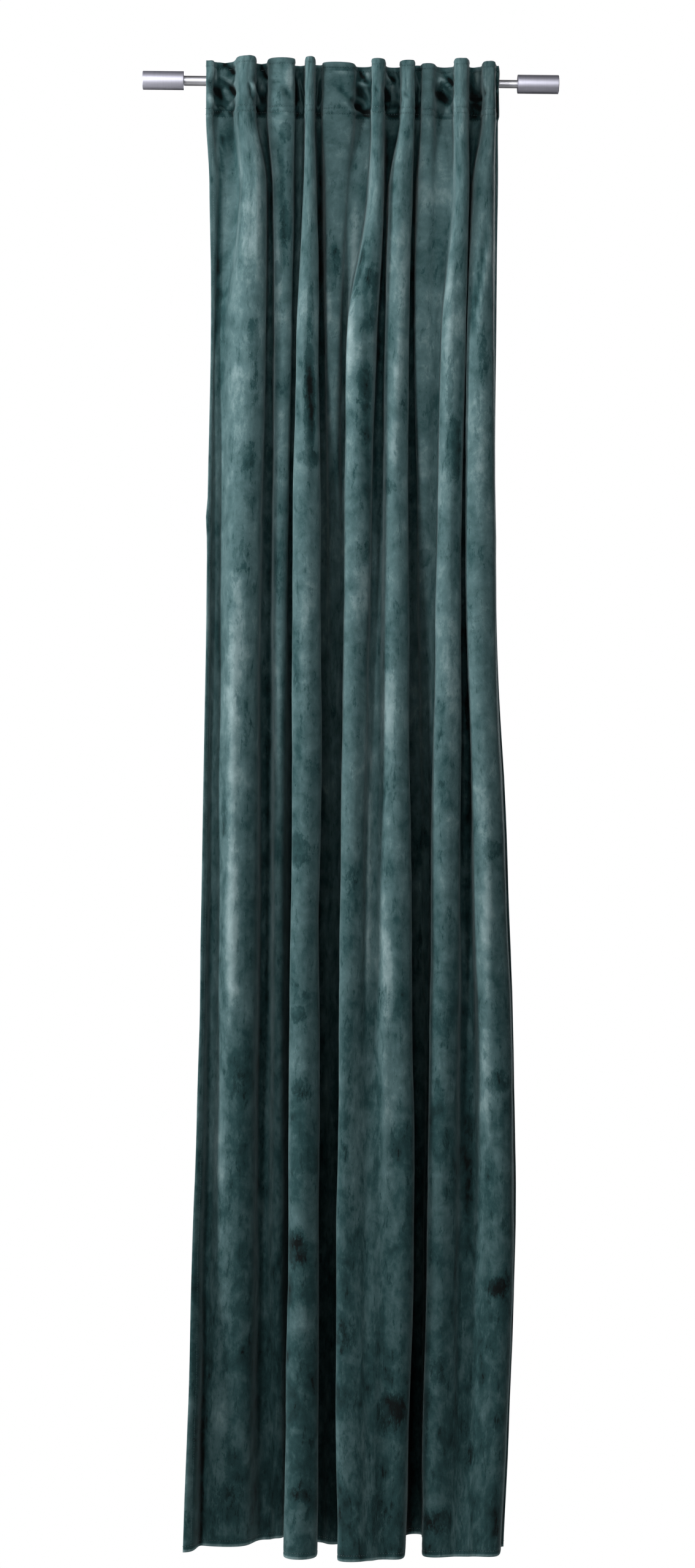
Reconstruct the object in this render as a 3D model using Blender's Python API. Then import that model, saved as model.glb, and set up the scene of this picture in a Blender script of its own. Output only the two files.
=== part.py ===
# A velvet curtain panel, gathered on a slim telescopic rod by nine tabs sewn behind its heading.
# Frame: metres, +Z up, +X to the right of someone facing the curtain, who stands on the -Y side.
# The origin lies on the rod's axis, halfway between its ends. Sizes below are in millimetres.
import math

import bmesh
import bpy
from mathutils import Vector

MM = 0.001

# The rod: two tubes, one sliding in the other, and a plain turned finial on each end.
ROD_HALF_SPAN = 337.0
FINIAL_LENGTH = 67.0
FINIAL_DIAMETER = 30.0
FINIAL_CHAMFER = 1.2
SOCKET_DEPTH = 30.0
SOCKET_CLEARANCE = 0.3
SOCKET_FLOOR_GAP = 2.0
OUTER_TUBE_DIAMETER = 16.0
INNER_TUBE_DIAMETER = 13.0
TUBE_WALL = 0.8
OUTER_TUBE_END = 80.0
INNER_TUBE_START = -60.0
TUBE_SIDES = 24
FINIAL_SIDES = 32

# The cloth: one sheet from its top edge above the rod down to its hem.
CLOTH_THICKNESS = 2.0
CLOTH_WIDTH = 1360.0
SAMPLES_PER_BEND = 2
LENGTH_SAMPLES = 4
HOLLOW_DEPTH_RANGE = (0.3, 1.8)
HALVINGS = 14

# The tabs: strips that run from the upper seam, over and behind the rod, to the lower seam.
TAB_WIDTH = 18.0
TAB_THICKNESS = 1.2
TAB_GAP = 0.4
TAB_UPPER_SEAM = 14.0
TAB_LOWER_SEAM = -52.0
TAB_SIDE_MARGIN = 3.0
ROD_CLEARANCE = 2.8

# Heights at which the folds are described, from the top edge to the hem.
# The first four are the heading: top edge, rod, the dent under the rod and the lower seam.
HEADING_LEVELS = (24.0, 0.0, -38.0, -57.0)
BODY_LEVELS = (-172.0, -424.0, -768.0, -1365.0, -1861.0, -2395.0)
LEVELS = HEADING_LEVELS + BODY_LEVELS

# Rows of the sheet: close together where the heading bends over the rod, wide apart below it.
ROW_HEIGHTS = (
    24, 14, 5, -4, -13, -25, -38, -48, -57, -75, -105, -145, -200, -275, -365, -465, -575, -695,
    -825, -965, -1115, -1275, -1445, -1620, -1790, -1950, -2105, -2255, -2395,
)

# Middle of each ridge and hollow, across from the rod's middle:
# heading, then the six body levels. Ridges and hollows take turns from the left edge to the right.
ACROSS = (
    ("edge_left", -228, -222, -220, -222, -225, -233, -244),
    ("hollow_1", -206, -204, -212, -213, -213, -217, -222),
    ("ridge_2", -169, -159, -158, -165, -168, -172, -175),
    ("hollow_2", -146, -134, -129, -128, -127, -128, -127),
    ("ridge_3", -117, -110, -107, -102, -100, -103, -103),
    ("hollow_3", -86, -91, -91, -83, -72, -69, -65),
    ("ridge_4", -66, -67, -67, -63, -60, -58, -59),
    ("hollow_4", -51, -52, -50, -42, -36, -33, -31),
    ("ridge_5", -22, -24, -25, -19, -12, -10, -7),
    ("hollow_5", 19, -5, -8, 1, 6, 11, 18),
    ("ridge_6", 42, 36, 19, 18, 19, 20, 29),
    ("hollow_6", 69, 54, 53, 46, 48, 52, 61),
    ("ridge_7", 92, 81, 80, 77, 86, 92, 87),
    ("hollow_7", 109, 101, 101, 106, 121, 130, 132),
    ("ridge_8", 124, 117, 115, 127, 142, 145, 145),
    ("hollow_8", 152, 139, 139, 143, 147, 150, 151),
    ("ridge_9", 176, 168, 167, 167, 167, 168, 169),
    ("hollow_9", 202, 191, 191, 194, 202, 209, 207),
    ("ridge_10", 220, 214, 211, 216, 241, 258, 241),
    ("edge_right", 237, 239, 238, 242, 273, 288, 275),
)

# Width of each ridge's front and of each hollow's floor, at the same levels.
WIDTH = (
    ("edge_left", 9, 8, 5, 6, 8, 9, 9),
    ("hollow_1", 28, 24, 12, 12, 12, 16, 24),
    ("ridge_2", 27, 36, 44, 50, 52, 60, 62),
    ("hollow_2", 16, 10, 12, 16, 16, 16, 14),
    ("ridge_3", 32, 30, 22, 25, 24, 22, 20),
    ("hollow_3", 16, 22, 22, 24, 26, 25, 24),
    ("ridge_4", 18, 18, 34, 40, 42, 46, 50),
    ("hollow_4", 10, 20, 22, 22, 18, 20, 18),
    ("ridge_5", 52, 32, 24, 14, 9, 10, 14),
    ("hollow_5", 22, 15, 13, 14, 16, 16, 18),
    ("ridge_6", 22, 18, 44, 38, 40, 46, 52),
    ("hollow_6", 22, 15, 15, 12, 14, 12, 8),
    ("ridge_7", 23, 33, 33, 42, 44, 50, 43),
    ("hollow_7", 14, 24, 24, 26, 26, 26, 26),
    ("ridge_8", 26, 22, 22, 16, 10, 8, 8),
    ("hollow_8", 20, 13, 13, 10, 8, 8, 8),
    ("ridge_9", 27, 38, 38, 36, 40, 50, 52),
    ("hollow_9", 17, 20, 20, 18, 18, 16, 8),
    ("ridge_10", 22, 26, 37, 45, 46, 44, 48),
    ("edge_right", 3, 3, 3, 3, 4, 4, 5),
)

# How far each ridge and hollow stands in front of the rod's axis, at all ten levels.
# Below the dent the hollows are then made as deep as the cloth's width asks for.
FORWARD = (
    ("edge_left", 38, 37, 34, 33, 32, 24, 22, 20, 25, 36),
    ("hollow_1", 25, 17, 6, 10, 16, 12, 6, 0, -2, 0),
    ("ridge_2", 68, 68, 66, 64, 60, 52, 42, 28, 10, -9),
    ("hollow_2", 22, 17, 6, 8, 11, 8, 0, -12, -24, -36),
    ("ridge_3", 56, 58, 56, 54, 50, 40, 26, 0, -22, -44),
    ("hollow_3", 10, 16, 5, 5, 0, -6, -18, -38, -60, -82),
    ("ridge_4", 72, 72, 70, 68, 66, 62, 62, 62, 60, 58),
    ("hollow_4", 13, 16, 5, 5, 0, -7, -22, -36, -40, -36),
    ("ridge_5", 34, 38, 42, 42, 40, 32, -4, -26, -26, -20),
    ("hollow_5", 6, 16, 4, 6, 8, 3, -12, -30, -34, -30),
    ("ridge_6", 62, 64, 62, 61, 60, 60, 60, 68, 74, 78),
    ("hollow_6", 8, 16, 4, 5, 8, 12, 28, 54, 66, 70),
    ("ridge_7", 53, 56, 56, 56, 55, 55, 56, 66, 66, 60),
    ("hollow_7", 16, 15, 4, 4, -4, -10, -30, -50, -68, -90),
    ("ridge_8", 34, 38, 42, 43, 42, 34, 4, -36, -50, -62),
    ("hollow_8", 8, 15, 4, 9, 16, 16, 0, -28, -40, -50),
    ("ridge_9", 66, 67, 66, 64, 62, 60, 58, 56, 52, 46),
    ("hollow_9", 8, 15, 3, 3, 0, -4, -8, 22, 40, 42),
    ("ridge_10", 49, 51, 52, 52, 52, 58, 60, 58, 52, 42),
    ("edge_right", 20, 18, 15, 14, 12, 8, 0, -10, -14, -18),
)


def clear_scene():
    for old in list(bpy.data.objects):
        bpy.data.objects.remove(old, do_unlink=True)


def make_material(name, colour, roughness, metallic=0.0):
    material = bpy.data.materials.new(name)
    material.use_nodes = True
    shader = material.node_tree.nodes["Principled BSDF"]
    shader.inputs["Base Color"].default_value = (*colour, 1.0)
    shader.inputs["Roughness"].default_value = roughness
    shader.inputs["Metallic"].default_value = metallic
    return material


def add_object(name, bm, material):
    mesh = bpy.data.meshes.new(name)
    bm.to_mesh(mesh)
    bm.free()
    mesh.materials.append(material)
    obj = bpy.data.objects.new(name, mesh)
    bpy.context.scene.collection.objects.link(obj)
    mesh.shade_smooth()
    mesh.set_sharp_from_angle(angle=math.radians(35))
    return obj


def value_at(height, levels, values):
    # A curve through the values that never swings past them, so a fold grows evenly between levels.
    slopes = [(values[i + 1] - values[i]) / (levels[i + 1] - levels[i]) for i in range(len(levels) - 1)]
    tangents = [slopes[0]]
    for before, after in zip(slopes, slopes[1:]):
        same_way = before * after > 0
        tangents.append(2 * before * after / (before + after) if same_way else 0.0)
    tangents.append(slopes[-1])
    i = 0
    while i < len(levels) - 2 and height < levels[i + 1]:
        i += 1
    step = levels[i + 1] - levels[i]
    t = min(max((height - levels[i]) / step, 0.0), 1.0)
    return (
        (2 * t ** 3 - 3 * t ** 2 + 1) * values[i]
        + (t ** 3 - 2 * t ** 2 + t) * step * tangents[i]
        + (3 * t ** 2 - 2 * t ** 3) * values[i + 1]
        + (t ** 3 - t ** 2) * step * tangents[i + 1]
    )


def at_all_levels(row):
    # The heading keeps one value from the top edge to the lower seam.
    return (row[1],) * len(HEADING_LEVELS) + tuple(row[2:])


def bend_points(height, hollow_depth):
    # Two points for each ridge and hollow: the two sides of its front or floor.
    forward = [value_at(height, LEVELS, row[1:]) for row in FORWARD]
    points = []
    for i, (across, width) in enumerate(zip(ACROSS, WIDTH)):
        middle = value_at(height, LEVELS, at_all_levels(across))
        half = value_at(height, LEVELS, at_all_levels(width)) / 2
        depth = forward[i]
        if i % 2 == 1 and i < len(ACROSS) - 1:
            ridges = (forward[i - 1] + forward[i + 1]) / 2
            depth = ridges + hollow_depth * (depth - ridges)
        points.append(Vector((middle - half, depth)))
        points.append(Vector((middle + half, depth)))
    return points


def curve_between(p0, p1, p2, p3, t):
    # Centripetal Catmull-Rom: rounds each bend without loops, however uneven the points.
    k1 = max((p1 - p0).length ** 0.5, 0.1)
    k2 = k1 + max((p2 - p1).length ** 0.5, 0.1)
    k3 = k2 + max((p3 - p2).length ** 0.5, 0.1)
    u = k1 + t * (k2 - k1)
    a1 = p0 * ((k1 - u) / k1) + p1 * (u / k1)
    a2 = p1 * ((k2 - u) / (k2 - k1)) + p2 * ((u - k1) / (k2 - k1))
    a3 = p2 * ((k3 - u) / (k3 - k2)) + p3 * ((u - k2) / (k3 - k2))
    b1 = a1 * ((k2 - u) / k2) + a2 * (u / k2)
    b2 = a2 * ((k3 - u) / (k3 - k1)) + a3 * ((u - k1) / (k3 - k1))
    return b1 * ((k2 - u) / (k2 - k1)) + b2 * ((u - k1) / (k2 - k1))


def line_through(bends, samples):
    ends = [bends[0] * 2 - bends[1]] + bends + [bends[-1] * 2 - bends[-2]]
    line = []
    for i in range(1, len(ends) - 2):
        for step in range(samples):
            line.append(curve_between(*ends[i - 1:i + 3], step / samples))
    line.append(bends[-1])
    return line


def hollow_depth_at(height):
    # The cloth is as wide at every height, so wider-set folds are shallower ones.
    dent, first_level = HEADING_LEVELS[2], BODY_LEVELS[0]
    if height >= dent:
        return 1.0
    low, high = HOLLOW_DEPTH_RANGE
    for _ in range(HALVINGS):
        depth = (low + high) / 2
        line = line_through(bend_points(height, depth), LENGTH_SAMPLES)
        length = sum((b - a).length for a, b in zip(line, line[1:]))
        low, high = (depth, high) if length < CLOTH_WIDTH else (low, depth)
    below_dent = min((dent - height) / (dent - first_level), 1.0)
    return 1.0 + (depth - 1.0) * below_dent ** 2 * (3 - 2 * below_dent)


def section(height):
    # The line of the cloth at one height, seen from above, as (across, forward).
    return line_through(bend_points(height, hollow_depth_at(height)), SAMPLES_PER_BEND)


def sides_of(line, thickness):
    # The line moved half a thickness to each side, square to itself.
    front, back = [], []
    for i, point in enumerate(line):
        along = (line[min(i + 1, len(line) - 1)] - line[max(i - 1, 0)]).normalized()
        side = Vector((along.y, -along.x)) * thickness / 2
        front.append(point - side)
        back.append(point + side)
    return front, back


def closed_sheet(name, front, back, material):
    # Joins two grids of points, in millimetres, into one closed solid: both faces and the four edges.
    bm = bmesh.new()
    front = [[bm.verts.new(Vector(p) * MM) for p in row] for row in front]
    back = [[bm.verts.new(Vector(p) * MM) for p in row] for row in back]
    last_row = len(front) - 1
    last_column = len(front[0]) - 1
    for r in range(last_row):
        for c in range(last_column):
            bm.faces.new((front[r][c], front[r + 1][c], front[r + 1][c + 1], front[r][c + 1]))
            bm.faces.new((back[r][c + 1], back[r + 1][c + 1], back[r + 1][c], back[r][c]))
        bm.faces.new((front[r][0], back[r][0], back[r + 1][0], front[r + 1][0]))
        c = last_column
        bm.faces.new((front[r + 1][c], back[r + 1][c], back[r][c], front[r][c]))
    for c in range(last_column):
        bm.faces.new((front[0][c], front[0][c + 1], back[0][c + 1], back[0][c]))
        r = last_row
        bm.faces.new((back[r][c], back[r][c + 1], front[r][c + 1], front[r][c]))
    bmesh.ops.triangulate(bm, faces=bm.faces)
    bmesh.ops.recalc_face_normals(bm, faces=bm.faces)
    return add_object(name, bm, material)


def make_cloth(material):
    front, back = [], []
    for height in ROW_HEIGHTS:
        front_line, back_line = sides_of(section(height), CLOTH_THICKNESS)
        front.append([(p.x, -p.y, height) for p in front_line])
        back.append([(p.x, -p.y, height) for p in back_line])
    return closed_sheet("curtain", front, back, material)


def back_of_cloth(middle, height):
    # The rearmost the cloth's middle line comes across a tab's width, at one height.
    line = line_through(bend_points(height, hollow_depth_at(height)), LENGTH_SAMPLES)
    near = [p.y for p in line if abs(p.x - middle) < TAB_WIDTH / 2 + TAB_SIDE_MARGIN]
    return min(near) - CLOTH_THICKNESS / 2 - TAB_GAP - TAB_THICKNESS / 2


def make_tab(number, material):
    # Seen from the side, as (forward, height): the strip's own middle line.
    middle = ACROSS[2 * number - 1][1]
    tube = OUTER_TUBE_DIAMETER if middle < OUTER_TUBE_END else INNER_TUBE_DIAMETER
    reach = tube / 2 + ROD_CLEARANCE
    route = [
        (back_of_cloth(middle, TAB_UPPER_SEAM), TAB_UPPER_SEAM),
        (0.0, 1.15 * reach),
        (-0.64 * reach, 0.86 * reach),
        (-reach, 0.25 * reach),
        (-reach, -0.6 * reach),
        (back_of_cloth(middle, TAB_LOWER_SEAM), TAB_LOWER_SEAM),
    ]
    sides = sides_of([Vector(p) for p in route], TAB_THICKNESS)
    edges = (middle - TAB_WIDTH / 2, middle + TAB_WIDTH / 2)
    grids = [[[(x, -p.x, p.y) for x in edges] for p in side] for side in sides]
    return closed_sheet("tab_%d" % number, *grids, material)


def turned(name, profile, sides, material):
    # A closed profile of (along, radius) points, turned about the rod's axis.
    bm = bmesh.new()
    rings = []
    for along, radius in profile:
        if radius == 0:
            rings.append([bm.verts.new((along * MM, 0, 0))])
            continue
        ring = []
        for k in range(sides):
            angle = 2 * math.pi * k / sides
            spot = Vector((along, radius * math.cos(angle), radius * math.sin(angle)))
            ring.append(bm.verts.new(spot * MM))
        rings.append(ring)
    for this, following in zip(rings, rings[1:] + rings[:1]):
        for k in range(sides):
            j = (k + 1) % sides
            corners = [this[k % len(this)], this[j % len(this)], following[j % len(following)]]
            corners.append(following[k % len(following)])
            corners = list(dict.fromkeys(corners))
            if len(corners) > 2:
                bm.faces.new(corners)
    bmesh.ops.triangulate(bm, faces=bm.faces)
    bmesh.ops.recalc_face_normals(bm, faces=bm.faces)
    return add_object(name, bm, material)


def make_tube(name, start, end, diameter, material):
    outside = diameter / 2
    inside = outside - TUBE_WALL
    profile = [(start, outside), (end, outside), (end, inside), (start, inside)]
    return turned(name, profile, TUBE_SIDES, material)


def make_finial(name, side, tube_diameter, material):
    outside = FINIAL_DIAMETER / 2
    bore = tube_diameter / 2 + SOCKET_CLEARANCE
    inner_end = side * (ROD_HALF_SPAN - FINIAL_LENGTH)
    outer_end = side * ROD_HALF_SPAN
    floor = inner_end + side * SOCKET_DEPTH
    chamfer = side * FINIAL_CHAMFER
    profile = [
        (floor, 0),
        (floor, bore),
        (inner_end, bore),
        (inner_end, outside - FINIAL_CHAMFER),
        (inner_end + chamfer, outside),
        (outer_end - chamfer, outside),
        (outer_end, outside - FINIAL_CHAMFER),
        (outer_end, 0),
    ]
    return turned(name, profile, FINIAL_SIDES, material)


def main():
    clear_scene()
    velvet = make_material("velvet", (0.018, 0.058, 0.058), 0.9)
    tape = make_material("tab_cloth", (0.016, 0.048, 0.048), 0.95)
    tube_metal = make_material("satin_steel", (0.62, 0.61, 0.63), 0.28, 1.0)
    finial_metal = make_material("satin_aluminium", (0.52, 0.51, 0.55), 0.38, 1.0)

    make_cloth(velvet)
    for number in range(1, 10):
        make_tab(number, tape)

    tube_end = ROD_HALF_SPAN - FINIAL_LENGTH + SOCKET_DEPTH - SOCKET_FLOOR_GAP
    make_tube("rod_outer_tube", -tube_end, OUTER_TUBE_END, OUTER_TUBE_DIAMETER, tube_metal)
    make_tube("rod_inner_tube", INNER_TUBE_START, tube_end, INNER_TUBE_DIAMETER, tube_metal)
    make_finial("finial_left", -1, OUTER_TUBE_DIAMETER, finial_metal)
    make_finial("finial_right", 1, INNER_TUBE_DIAMETER, finial_metal)


main()
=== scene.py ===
import math

import bpy
import numpy as np
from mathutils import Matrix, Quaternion, Vector, noise


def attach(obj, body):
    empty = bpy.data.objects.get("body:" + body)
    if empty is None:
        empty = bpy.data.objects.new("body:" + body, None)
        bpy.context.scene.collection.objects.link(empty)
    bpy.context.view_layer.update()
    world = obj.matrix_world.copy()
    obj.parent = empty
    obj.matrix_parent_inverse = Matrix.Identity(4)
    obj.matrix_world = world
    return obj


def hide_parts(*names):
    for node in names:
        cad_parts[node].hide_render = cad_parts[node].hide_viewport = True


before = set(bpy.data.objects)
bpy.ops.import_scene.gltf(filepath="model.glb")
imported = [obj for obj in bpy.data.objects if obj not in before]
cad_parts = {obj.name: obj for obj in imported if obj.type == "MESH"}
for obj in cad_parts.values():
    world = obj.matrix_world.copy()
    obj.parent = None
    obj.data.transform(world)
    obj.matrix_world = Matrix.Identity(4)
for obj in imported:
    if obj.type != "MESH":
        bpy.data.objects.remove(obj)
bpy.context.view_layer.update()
mm = 0.001


# Helpers

def linear(hexColour):
    # sRGB hex to the linear colour that the shaders take
    parts = [int(hexColour[i:i + 2], 16) / 255 for i in (1, 3, 5)]
    return tuple(p / 12.92 if p <= 0.04045 else ((p + 0.055) / 1.055) ** 2.4 for p in parts) + (1.0,)


def perMetre(sizeInMm):
    return 1.0 / (sizeInMm * mm)


def waveScale(sizeInMm):
    # a wave texture has 20 radians to each unit
    return perMetre(sizeInMm) * 2 * math.pi / 20


def smoothStep(low, high, value):
    t = np.clip((value - low) / (high - low), 0.0, 1.0)
    return t * t * (3 - 2 * t)


def bell(distance, width):
    return np.exp(-(distance / width) ** 2)


def addNode(tree, kind, settings=None, inputs=None, stops=()):
    # inputs maps a socket's name or number to a value or to another node's output;
    # stops are a colour ramp's (place, hex colour) from its lowest place to its highest
    node = tree.nodes.new(kind)
    for name, value in (settings or {}).items():
        setattr(node, name, value)
    for name, value in (inputs or {}).items():
        if isinstance(value, bpy.types.NodeSocket):
            tree.links.new(value, node.inputs[name])
        else:
            node.inputs[name].default_value = value
    if stops:
        elements = node.color_ramp.elements
        elements[0].position, elements[-1].position = stops[0][0], stops[-1][0]
        for place, colour in stops[1:-1]:
            elements.new(place)
        for element, (place, colour) in zip(elements, stops):
            element.color = linear(colour)
    return node


def newMaterial(name, constants):
    material = bpy.data.materials.new(name)
    material.use_nodes = True
    shader = material.node_tree.nodes["Principled BSDF"]
    for socket, value in constants.items():
        shader.inputs[socket].default_value = value
    return material, material.node_tree, shader


def finishSurface(tree, shader, tone, tones, rough, relief=None):
    # rough is a map range's inputs; relief is (pattern, strength, depth in mm)
    ramp = addNode(tree, "ShaderNodeValToRGB", None, {"Fac": tone}, tones)
    tree.links.new(ramp.outputs["Color"], shader.inputs["Base Color"])
    worn = addNode(tree, "ShaderNodeMapRange", None, rough)
    tree.links.new(worn.outputs["Result"], shader.inputs["Roughness"])
    if relief:
        pattern, strength, depth = relief
        bump = addNode(tree, "ShaderNodeBump", None, {
            "Strength": strength, "Distance": depth * mm, "Height": pattern,
        })
        tree.links.new(bump.outputs["Normal"], shader.inputs["Normal"])


def newObject(name, vertices, faces, materials, smooth=True):
    mesh = bpy.data.meshes.new(name)
    mesh.from_pydata(vertices, [], faces)
    for material in materials:
        mesh.materials.append(material)
    mesh.polygons.foreach_set("use_smooth", [smooth] * len(mesh.polygons))
    mesh.update()
    obj = bpy.data.objects.new(name, mesh)
    bpy.context.scene.collection.objects.link(obj)
    return obj


def addUv(obj, name, perVertex):
    corners = np.empty(len(obj.data.loops), dtype=np.int32)
    obj.data.loops.foreach_get("vertex_index", corners)
    layer = obj.data.uv_layers.new(name=name)
    layer.data.foreach_set("uv", np.asarray(perVertex, dtype=np.float32)[corners].ravel())


# The folds

headingLevels = (24.0, 0.0, -38.0, -57.0)  # top edge, rod, the dent under the rod, lower stitching
bodyLevels = (-172.0, -424.0, -768.0, -1365.0, -1861.0, -2395.0)
levels = headingLevels + bodyLevels

# Across from the rod's middle: one value for the heading, then one for each body level.
foldAcross = {
    "edgeLeft": (-228, -222, -220, -222, -225, -231, -240),
    "hollow1": (-206, -195, -212, -213, -213, -217, -222),
    "ridge2": (-166, -154, -157, -165, -168, -172, -172),
    "hollow2": (-144, -129, -127, -128, -127, -124, -117),
    "ridge3": (-110, -107, -104, -105, -104, -100, -97),
    "hollow3": (-84, -82, -86, -82, -72, -69, -65),
    "ridge4": (-65, -64, -65, -63, -60, -58, -59),
    "hollow4": (-51, -48, -46, -42, -36, -33, -31),
    "ridge5": (-20, -22, -24, -19, -12, -10, -7),
    "hollow5": (20, 13, -7, 1, 6, 11, 18),
    "ridge6": (44, 44, 21, 18, 14, 12, 20),
    "hollow6": (69, 60, 53, 50, 46, 48, 54),
    "ridge7": (91, 82, 79, 82, 89, 98, 92),
    "hollow7": (108, 105, 102, 106, 121, 130, 132),
    "ridge8": (124, 122, 118, 127, 142, 145, 145),
    "hollow8": (151, 151, 142, 143, 147, 150, 151),
    "ridge9": (177, 180, 169, 167, 167, 163, 162),
    "hollow9": (201, 195, 192, 194, 202, 209, 204),
    "ridge10": (222, 214, 213, 216, 241, 262, 246),
    "edgeRight": (237, 239, 238, 242, 273, 288, 275),
}

# Width of each ridge's front and each hollow's floor, at the same levels.
foldWidth = {
    "edgeLeft": (9, 8, 5, 6, 8, 13, 17),
    "hollow1": (30, 30, 12, 12, 12, 12, 8),
    "ridge2": (21, 32, 44, 46, 46, 48, 50),
    "hollow2": (16, 8, 12, 16, 16, 16, 14),
    "ridge3": (35, 26, 22, 17, 13, 13, 12),
    "hollow3": (16, 14, 18, 24, 26, 25, 24),
    "ridge4": (8, 13, 32, 40, 42, 46, 50),
    "hollow4": (10, 11, 20, 22, 18, 20, 18),
    "ridge5": (46, 30, 22, 14, 9, 10, 14),
    "hollow5": (24, 26, 13, 14, 16, 16, 18),
    "ridge6": (13, 15, 40, 36, 30, 30, 34),
    "hollow6": (22, 6, 13, 17, 16, 12, 8),
    "ridge7": (17, 27, 31, 32, 38, 38, 33),
    "hollow7": (14, 6, 22, 26, 26, 26, 26),
    "ridge8": (15, 17, 20, 16, 10, 8, 8),
    "hollow8": (26, 28, 14, 10, 8, 8, 8),
    "ridge9": (15, 15, 34, 34, 40, 40, 38),
    "hollow9": (17, 6, 16, 18, 20, 18, 8),
    "ridge10": (13, 24, 37, 42, 44, 36, 38),
    "edgeRight": (3, 3, 3, 3, 4, 4, 5),
}

# Forward of the rod's axis, at all ten levels.
foldForward = {
    "edgeLeft": (38, 37, 34, 33, 32, 24, 22, 20, 25, 36),
    "hollow1": (25, 17, 6, 12, 32, 20, 6, 0, -6, -8),
    "ridge2": (68, 68, 66, 64, 60, 52, 42, 28, 12, -2),
    "hollow2": (22, 17, 6, 8, 11, 8, -6, -28, -32, -44),
    "ridge3": (56, 58, 56, 54, 50, 42, 34, 12, -12, -50),
    "hollow3": (10, 16, 5, 6, 12, -2, -18, -38, -60, -82),
    "ridge4": (72, 72, 70, 68, 66, 62, 62, 62, 60, 58),
    "hollow4": (13, 16, 5, 5, 0, -7, -22, -36, -40, -36),
    "ridge5": (34, 38, 42, 42, 40, 32, -4, -26, -26, -20),
    "hollow5": (6, 16, 4, 8, 36, 8, -12, -30, -34, -30),
    "ridge6": (62, 64, 62, 61, 60, 60, 60, 66, 72, 76),
    "hollow6": (8, 16, 4, 5, 8, 10, 24, 46, 66, 71),
    "ridge7": (53, 56, 56, 56, 55, 55, 56, 66, 66, 62),
    "hollow7": (16, 15, 4, 4, -4, -10, -30, -50, -68, -90),
    "ridge8": (34, 38, 42, 43, 42, 34, 4, -36, -50, -62),
    "hollow8": (8, 15, 4, 12, 40, 32, 4, -28, -40, -50),
    "ridge9": (66, 67, 66, 64, 62, 60, 58, 56, 52, 46),
    "hollow9": (8, 15, 3, 3, 0, -4, -8, 12, 32, 42),
    "ridge10": (49, 51, 52, 52, 52, 58, 60, 58, 52, 42),
    "edgeRight": (20, 18, 15, 14, 12, 8, 0, -10, -14, -18),
}


def valueAt(height, values):
    # monotone cubic between the levels, so that a fold never swings past its values
    slopes = [(values[i + 1] - values[i]) / (levels[i + 1] - levels[i]) for i in range(len(levels) - 1)]
    tangents = [slopes[0]]
    for before, after in zip(slopes, slopes[1:]):
        tangents.append(2 * before * after / (before + after) if before * after > 0 else 0.0)
    tangents.append(slopes[-1])
    i = 0
    while i < len(levels) - 2 and height < levels[i + 1]:
        i += 1
    step = levels[i + 1] - levels[i]
    t = min(max((height - levels[i]) / step, 0.0), 1.0)
    return (
        (2 * t ** 3 - 3 * t ** 2 + 1) * values[i]
        + (t ** 3 - 2 * t ** 2 + t) * step * tangents[i]
        + (3 * t ** 2 - 2 * t ** 3) * values[i + 1]
        + (t ** 3 - t ** 2) * step * tangents[i + 1]
    )


def foldsAt(height):
    # (middle, half width, forward) of every fold at one height
    spread = [(v[0],) * len(headingLevels) + v[1:] for v in foldAcross.values()]
    widths = [(v[0],) * len(headingLevels) + v[1:] for v in foldWidth.values()]
    return [
        (valueAt(height, a), valueAt(height, w) / 2, valueAt(height, f))
        for a, w, f in zip(spread, widths, foldForward.values())
    ]


def bendPoints(folds, hollowDepth):
    points = []
    for i, (middle, half, forward) in enumerate(folds):
        if i % 2 == 1 and i < len(folds) - 1:
            ridges = (folds[i - 1][2] + folds[i + 1][2]) / 2
            forward = ridges + hollowDepth * (forward - ridges)
        points += [Vector((middle - half, forward)), Vector((middle + half, forward))]
    return [points[0] * 2 - points[1]] + points + [points[-1] * 2 - points[-2]]


def curveBetween(p0, p1, p2, p3, t):
    # centripetal Catmull-Rom
    k1 = max((p1 - p0).length ** 0.5, 0.1)
    k2 = k1 + max((p2 - p1).length ** 0.5, 0.1)
    k3 = k2 + max((p3 - p2).length ** 0.5, 0.1)
    u = k1 + t * (k2 - k1)
    a1 = p0 * ((k1 - u) / k1) + p1 * (u / k1)
    a2 = p1 * ((k2 - u) / (k2 - k1)) + p2 * ((u - k1) / (k2 - k1))
    a3 = p2 * ((k3 - u) / (k3 - k2)) + p3 * ((u - k2) / (k3 - k2))
    b1 = a1 * ((k2 - u) / k2) + a2 * (u / k2)
    b2 = a2 * ((k3 - u) / (k3 - k1)) + a3 * ((u - k1) / (k3 - k1))
    return b1 * ((k2 - u) / (k2 - k1)) + b2 * ((u - k1) / (k2 - k1))


def lineThrough(points, places):
    # places are (segment, share of it), from the left edge to the right
    return [curveBetween(*points[i:i + 4], t) for i, t in places]


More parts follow.
